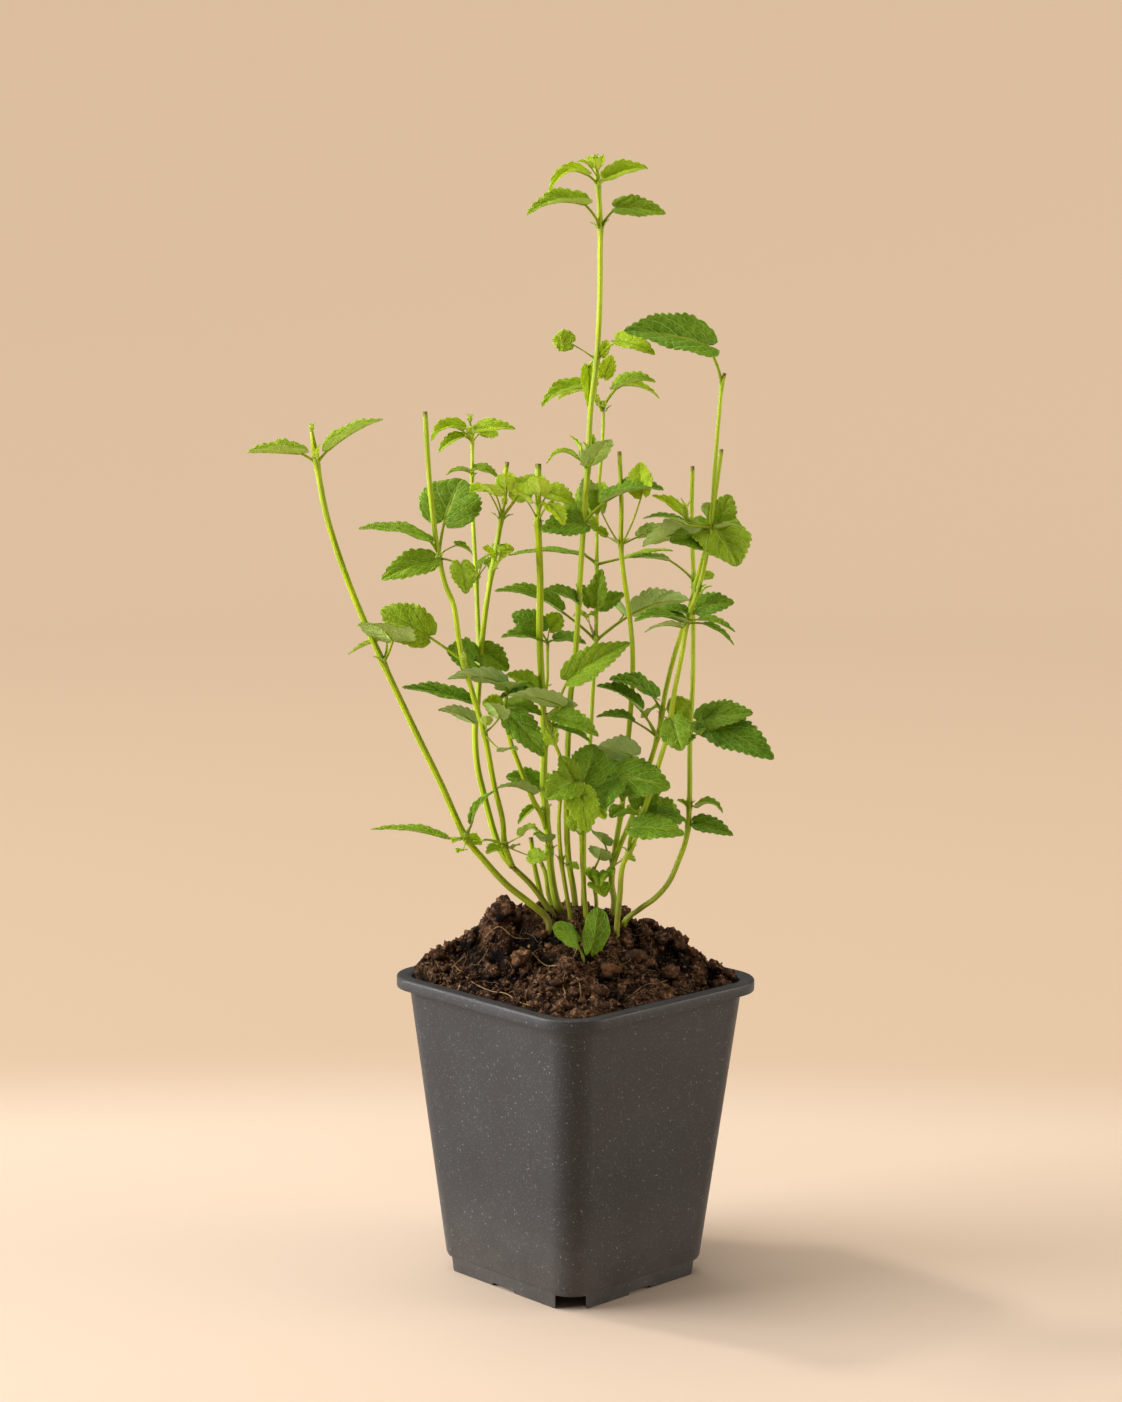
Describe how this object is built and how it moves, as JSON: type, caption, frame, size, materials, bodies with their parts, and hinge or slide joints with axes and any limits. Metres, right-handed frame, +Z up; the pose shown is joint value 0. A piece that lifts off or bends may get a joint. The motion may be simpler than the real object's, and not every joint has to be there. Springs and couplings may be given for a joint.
{
  "type": "potted anise hyssop plant",
  "caption": "Young leafy anise hyssop herb with upright square stems and toothed leaves, growing in a square tapered nursery pot filled with mounded dark soil.",
  "frame": {"origin": "on the floor under the centre of the pot", "axes": "+Z up along the stems, X and Y parallel to the sides of the square pot; the pictured front is the pot's corner towards (-X, -Y)"},
  "size_m": [0.1593, 0.1353, 0.4392],
  "materials": {
    "pot": "fine matt charcoal plastic",
    "soil": "damp crumbly peat with fibres",
    "plant": "soft quilted leaf, satin",
    "cut_stem": "dull brown drying stem"
  },
  "bodies": {
    "root": {"pot": "pot", "soil": "soil", "stem_far_left": "plant", "stem_left_fork": "plant", "stem_centre_left": "plant", "stem_tallest": "plant", "stem_centre_back": "plant", "stem_right_fork": "plant", "stem_right_tall": "plant", "stem_right_arch": "plant", "stem_inner": "plant", "stem_middle": "plant", "low_sprout": "plant", "stub_left": "cut_stem", "stub_brown": "cut_stem", "basal_leaf_left": "plant", "basal_leaf_right": "plant"}
  },
  "joints": []
}
